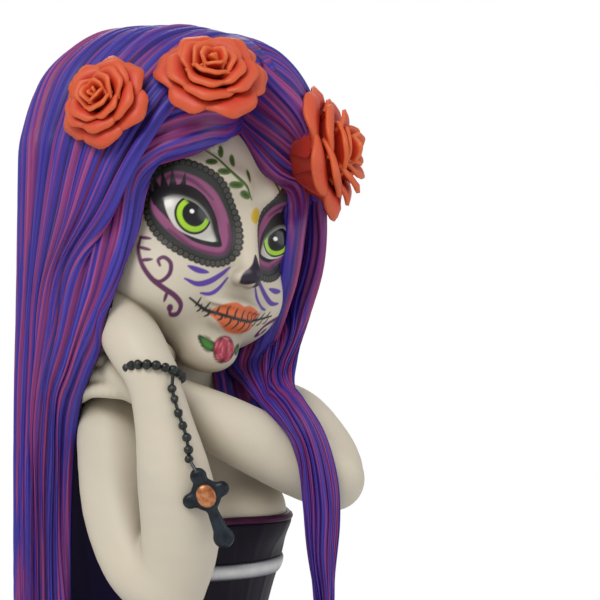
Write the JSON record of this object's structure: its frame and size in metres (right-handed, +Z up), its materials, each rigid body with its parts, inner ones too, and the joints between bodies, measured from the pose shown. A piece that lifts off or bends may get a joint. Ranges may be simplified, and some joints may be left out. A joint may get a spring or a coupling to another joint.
{
  "type": "catrina figurine",
  "caption": "Standing catrina figure: a painted big-headed girl with long violet hair, roses, a corset and a tiered floor-length skirt, on a round base.",
  "frame": {"origin": "Underside of the felt pad, in the middle of the round base", "axes": "+Z up, the chest faces -Y, the figure's left is +X"},
  "size_m": [0.12, 0.12, 0.2199],
  "materials": {
    "felt": "dense black wool felt",
    "base_paint": "satin dark purple paint on cast resin",
    "steel": "plain bright steel",
    "wood": "plain beech dowel",
    "dark_satin": "dark purple satin look, painted and dry-brushed over the folds",
    "silver_trim": "silver-grey paint with darker lace holes",
    "wine_piping": "wine purple satin paint",
    "sash_ribbon": "purple satin ribbon paint",
    "skin": "ivory matt paint with soft brown shading and painted face",
    "hair": "blue-violet paint with magenta streaks over fine ribs",
    "rose": "coral orange paint with red crevices and orange tips",
    "beads": "glossy black-green paint",
    "stone": "glossy copper-orange oval"
  },
  "bodies": {
    "root": {"felt_pad": "felt", "base": "base_paint", "base_screw": "steel", "base_washer": "steel", "armature_post": "wood", "skirt_shell": "dark_satin", "lower_flounce": "dark_satin", "middle_flounce": "dark_satin", "upper_flounce": "dark_satin", "lower_trim": "silver_trim", "middle_trim": "silver_trim", "upper_trim": "silver_trim", "waist_sash": "sash_ribbon", "back_bow": "sash_ribbon", "torso": "skin", "corset": "dark_satin", "corset_piping": "wine_piping", "corset_band": "silver_trim", "neck_dowel": "wood", "head": "skin", "right_upper_arm": "skin", "right_forearm": "skin", "right_hand": "skin", "left_upper_arm": "skin", "left_forearm": "skin", "left_hand": "skin", "shoulder_pins": "steel", "elbow_pins": "steel", "wrist_pins": "steel", "hair_cap": "hair", "hair_back": "hair", "hair_right": "hair", "hair_left": "hair", "fringe_right": "hair", "fringe_left": "hair", "front_lock": "hair", "rose_right": "rose", "rose_crown": "rose", "rose_left": "rose", "rose_pins": "steel", "wrist_beads": "beads", "drop_beads": "beads", "cross_pendant": "beads", "cross_stone": "stone"}
  },
  "joints": []
}
